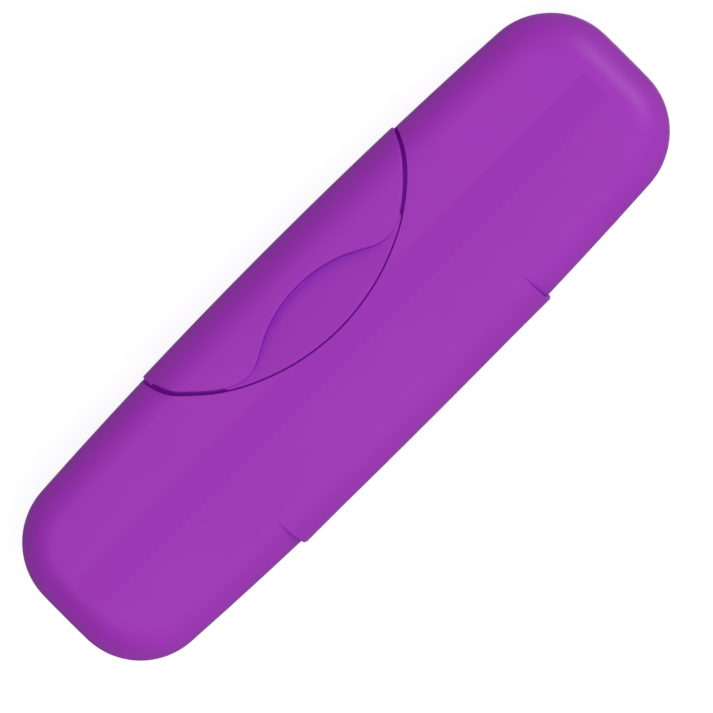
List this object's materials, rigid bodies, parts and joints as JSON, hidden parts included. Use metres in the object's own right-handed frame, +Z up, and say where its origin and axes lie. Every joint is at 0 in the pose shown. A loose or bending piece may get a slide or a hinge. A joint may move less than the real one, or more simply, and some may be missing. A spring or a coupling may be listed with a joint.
{
  "type": "toothbrush sanitizer",
  "caption": "Slim hinged travel case for a toothbrush, with a wide latch flap and finger scoop on one long edge and a UV lamp under the brush head inside.",
  "frame": {"origin": "centre of the flat underside of the base", "axes": "+Z up through the closed lid, X along the case with the lamp and brush head at +X, hinge along the +Y edge and latch flap on the -Y edge"},
  "size_m": [0.216, 0.0642, 0.0335],
  "materials": {
    "base_shell": "satin purple plastic",
    "battery_cells": "sleeved cells",
    "battery_contacts": "nickel plated strip",
    "battery_door": "satin purple plastic",
    "battery_springs": "nickel plated wire",
    "battery_wires": "insulated lead",
    "board_screws": "zinc plated steel",
    "brush_clips": "soft lilac silicone",
    "capacitors": "sleeved cans",
    "catch_wires": "drawn spring wire",
    "circuit_board": "green solder mask",
    "control_chip": "moulded package",
    "hinge_pin": "ground steel",
    "indicator_led": "tinted epoxy",
    "indicator_lens": "clear lens",
    "inner_tray": "white plastic",
    "interlock_plunger": "white acetal",
    "interlock_spring": "drawn spring wire",
    "interlock_switch": "moulded switch",
    "inverter_transformer": "ferrite core and taped winding",
    "lamp_end_caps": "plated cap",
    "lamp_guard": "pressed stainless sheet",
    "lamp_mounts": "soft grey silicone",
    "lamp_reflector": "bright rolled aluminium",
    "lamp_window": "clear quartz plate",
    "lamp_wires": "insulated lead",
    "latch_flap": "satin purple plastic",
    "latch_pin": "ground steel",
    "latch_springs": "drawn spring wire",
    "lid_liner": "white plastic",
    "lid_reflector": "bright sheet",
    "lid_shell": "satin purple plastic",
    "liner_screws": "zinc plated steel",
    "power_button": "purple plastic",
    "resistors": "chip components",
    "tact_switch": "moulded switch",
    "tray_screws": "zinc plated steel",
    "uv_lamp": "fused quartz tube"
  },
  "bodies": {
    "base": {"base_shell": "base_shell", "battery_cells": "battery_cells", "battery_contacts": "battery_contacts", "battery_springs": "battery_springs", "battery_wires": "battery_wires", "board_screws": "board_screws", "brush_clips": "brush_clips", "capacitors": "capacitors", "catch_wires": "catch_wires", "circuit_board": "circuit_board", "control_chip": "control_chip", "hinge_pin": "hinge_pin", "indicator_led": "indicator_led", "indicator_lens": "indicator_lens", "inner_tray": "inner_tray", "interlock_spring": "interlock_spring", "interlock_switch": "interlock_switch", "inverter_transformer": "inverter_transformer", "lamp_end_caps": "lamp_end_caps", "lamp_guard": "lamp_guard", "lamp_mounts": "lamp_mounts", "lamp_reflector": "lamp_reflector", "lamp_window": "lamp_window", "lamp_wires": "lamp_wires", "resistors": "resistors", "tact_switch": "tact_switch", "tray_screws": "tray_screws", "uv_lamp": "uv_lamp"},
    "lid": {"lid_shell": "lid_shell", "latch_pin": "latch_pin", "latch_springs": "latch_springs", "lid_liner": "lid_liner", "lid_reflector": "lid_reflector", "liner_screws": "liner_screws"},
    "latch": {"latch_flap": "latch_flap"},
    "power_button": {"power_button": "power_button"},
    "interlock_plunger": {"interlock_plunger": "interlock_plunger"},
    "battery_door": {"battery_door": "battery_door"}
  },
  "joints": [
    {"name": "lid_hinge", "type": "hinge", "parent": "base", "child": "lid", "pos_m": [0, 0.0308, 0.0175], "axis": [-1, 0, 0], "range_deg": [0, 115], "deforming": ["catch_wires"]},
    {"name": "latch_pivot", "type": "hinge", "parent": "lid", "child": "latch", "pos_m": [0, -0.0279, 0.0212], "axis": [1, 0, 0], "range_deg": [0, 20], "stiffness_Nm_per_rad": 0.05, "deforming": ["latch_springs"]},
    {"name": "power_button_press", "type": "slide", "parent": "base", "child": "power_button", "axis": [0, 0, -1], "range_m": [0, 0.0008], "stiffness_N_per_m": 300},
    {"name": "interlock_plunger_travel", "type": "slide", "parent": "base", "child": "interlock_plunger", "axis": [0, 0, 1], "range_m": [0, 0.0015], "deforming": ["interlock_spring"]},
    {"name": "battery_door_hinge", "type": "hinge", "parent": "base", "child": "battery_door", "pos_m": [-0.0382, 0, 0.00135], "axis": [0, -1, 0], "range_deg": [0, 90]}
  ],
  "couplings": [
    {"joint": "interlock_plunger_travel", "follows": "lid_hinge", "m_per_rad": 0.00072}
  ]
}
